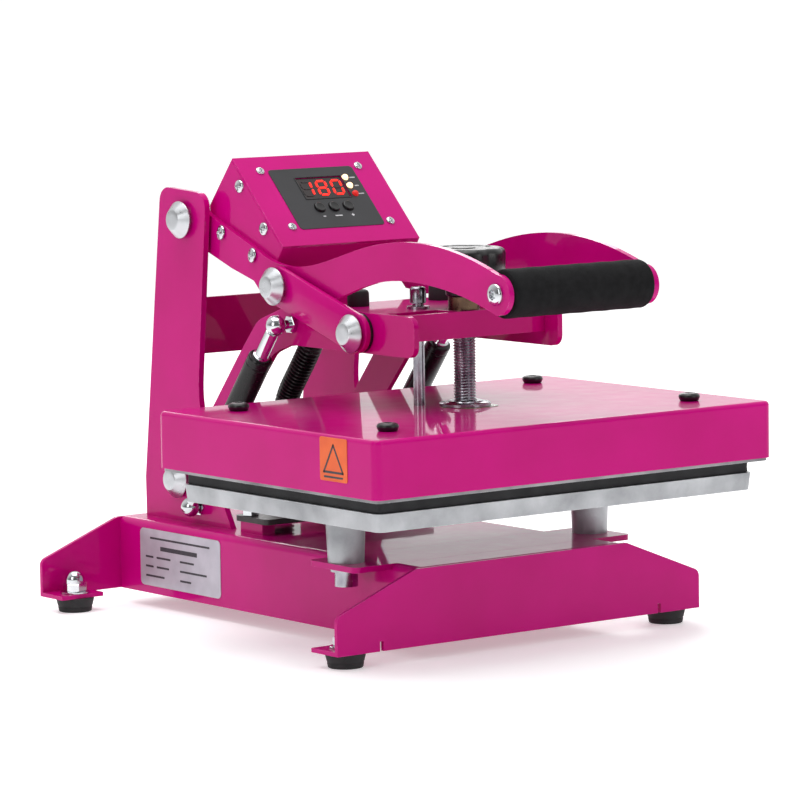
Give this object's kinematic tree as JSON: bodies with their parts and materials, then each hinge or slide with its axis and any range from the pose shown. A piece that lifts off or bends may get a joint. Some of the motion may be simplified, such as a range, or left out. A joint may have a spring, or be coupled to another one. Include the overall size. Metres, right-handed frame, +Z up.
{
  "type": "heat press",
  "caption": "Clamshell heat press with an over-centre lever, a digital control box, a spring-assisted upper platen and a padded lower table on a steel stand.",
  "frame": {"origin": "centre of the footprint on the floor", "axes": "+Z up from the floor, +Y from the handle at the front to the uprights at the rear, +X to the operator's right"},
  "size_m": [0.3466, 0.4366, 0.3301],
  "materials": {
    "powder_coat": "glossy powder coat, slight orange peel",
    "dark_steel": "satin black paint",
    "black_rubber": "matt",
    "chrome": "polished",
    "cast_aluminium": "as cast, rough",
    "turned_aluminium": "turned",
    "steel": "bright zinc",
    "brass": "turned",
    "black_plastic": "fine texture",
    "black_paint": "gloss black",
    "foam": "closed cell foam",
    "label": "satin film",
    "board": "fibre board",
    "circuit": "coated board",
    "lens": "clear red",
    "grey_plastic": "moulded"
  },
  "bodies": {
    "frame": {"base_channel": "powder_coat", "foot_plates": "powder_coat", "rubber_feet": "black_rubber", "chrome_nuts": "chrome", "upright_frame": "powder_coat", "front_table_bar": "powder_coat", "rear_rest_bar": "dark_steel", "lower_table": "cast_aluminium", "table_pad": "black_rubber", "table_screws": "steel", "rating_plate": "label", "pivot_shafts": "steel", "pivot_caps": "turned_aluminium", "pivot_spacers": "black_plastic", "lower_ball_studs": "chrome", "cable_grommets": "black_rubber", "heater_lead": "black_plastic"},
    "carrier": {"carrier_arms": "powder_coat", "carrier_front_plate": "powder_coat", "carrier_top_plate": "powder_coat", "pressure_nut": "brass", "guide_bushes": "brass", "rubber_stops": "black_rubber", "upper_ball_studs": "chrome", "toggle_pins": "turned_aluminium"},
    "platen": {"platen_cover": "powder_coat", "heat_platen": "cast_aluminium", "heating_element": "steel", "insulation_board": "board", "guide_pins": "steel", "cover_nuts": "steel", "platen_gland": "black_plastic", "heat_label": "label", "swivel_flange": "steel"},
    "screw": {"pressure_screw": "steel", "pressure_knob": "black_plastic"},
    "lever": {"lever_plates": "powder_coat", "grip_tube": "steel", "foam_grip": "foam", "lever_screws": "steel", "control_box_shell": "powder_coat", "control_panel": "powder_coat", "panel_overlay": "label", "circuit_board": "circuit", "display_module": "lens", "indicator_lamps": "lens", "mains_inlet": "black_plastic", "control_conduit": "black_plastic"},
    "left_link": {"left_toggle_link": "powder_coat", "left_knee_pin": "turned_aluminium"},
    "right_link": {"right_toggle_link": "powder_coat", "right_knee_pin": "turned_aluminium"},
    "left_rod": {"left_gas_rod": "chrome"},
    "right_rod": {"right_gas_rod": "chrome"},
    "left_tube": {"left_gas_tube": "black_paint"},
    "right_tube": {"right_gas_tube": "black_paint"},
    "rocker": {"power_switch": "black_plastic"},
    "left_key": {"left_button": "grey_plastic"},
    "middle_key": {"middle_button": "grey_plastic"},
    "right_key": {"right_button": "grey_plastic"}
  },
  "joints": [
    {"name": "carrier_open", "type": "hinge", "parent": "frame", "child": "carrier", "pos_m": [0, 0.16225, 0.0941], "axis": [-1, 0, 0], "range_deg": [0, 26.42], "deforming": ["heater_lead"]},
    {"name": "lever_lift", "type": "hinge", "parent": "frame", "child": "lever", "pos_m": [0, 0.15185, 0.2846], "axis": [-1, 0, 0], "range_deg": [0, 70], "deforming": ["control_conduit"]},
    {"name": "left_link_turn", "type": "hinge", "parent": "carrier", "child": "left_link", "pos_m": [-0.07, -0.05295, 0.2148], "axis": [-1, 0, 0], "range_deg": [-67.35, 0]},
    {"name": "right_link_turn", "type": "hinge", "parent": "carrier", "child": "right_link", "pos_m": [0.07, -0.05295, 0.2148], "axis": [-1, 0, 0], "range_deg": [-67.35, 0]},
    {"name": "left_rod_swing", "type": "hinge", "parent": "frame", "child": "left_rod", "pos_m": [-0.08, 0.13845, 0.0765], "axis": [-1, 0, 0], "range_deg": [0, 25.7]},
    {"name": "right_rod_swing", "type": "hinge", "parent": "frame", "child": "right_rod", "pos_m": [0.08, 0.13845, 0.0765], "axis": [-1, 0, 0], "range_deg": [0, 25.7]},
    {"name": "left_tube_slide", "type": "slide", "parent": "left_rod", "child": "left_tube", "axis": [0, -0.6204, 0.7843], "range_m": [0, 0.0134]},
    {"name": "right_tube_slide", "type": "slide", "parent": "right_rod", "child": "right_tube", "axis": [0, -0.6204, 0.7843], "range_m": [0, 0.0134]},
    {"name": "platen_float", "type": "slide", "parent": "carrier", "child": "platen", "axis": [0, 0, 1], "range_m": [0, 0.008]},
    {"name": "screw_turn", "type": "hinge", "parent": "platen", "child": "screw", "pos_m": [0, -0.08405, 0.2], "axis": [0, 0, 1], "range_deg": [0, 1440]},
    {"name": "rocker_tilt", "type": "hinge", "parent": "lever", "child": "rocker", "pos_m": [0.03, 0.1196, 0.31255], "axis": [1, 0, 0], "range_deg": [0, 5]},
    {"name": "left_key_press", "type": "slide", "parent": "lever", "child": "left_key", "axis": [0, 0.7071, -0.7071], "range_m": [0, 0.001], "stiffness_N_per_m": 400, "springref_m": -0.001},
    {"name": "middle_key_press", "type": "slide", "parent": "lever", "child": "middle_key", "axis": [0, 0.7071, -0.7071], "range_m": [0, 0.001], "stiffness_N_per_m": 400, "springref_m": -0.001},
    {"name": "right_key_press", "type": "slide", "parent": "lever", "child": "right_key", "axis": [0, 0.7071, -0.7071], "range_m": [0, 0.001], "stiffness_N_per_m": 400, "springref_m": -0.001}
  ],
  "couplings": [
    {"joint": "lever_lift", "follows": "carrier_open", "ratio": 2.6495},
    {"joint": "left_link_turn", "follows": "carrier_open", "ratio": -2.5484},
    {"joint": "right_link_turn", "follows": "carrier_open", "ratio": -2.5484},
    {"joint": "left_rod_swing", "follows": "carrier_open", "ratio": 0.96977},
    {"joint": "right_rod_swing", "follows": "carrier_open", "ratio": 0.96977},
    {"joint": "left_tube_slide", "follows": "carrier_open", "m_per_rad": 0.028806},
    {"joint": "right_tube_slide", "follows": "carrier_open", "m_per_rad": 0.028806},
    {"joint": "screw_turn", "follows": "platen_float", "rad_per_m": 3141.6}
  ]
}
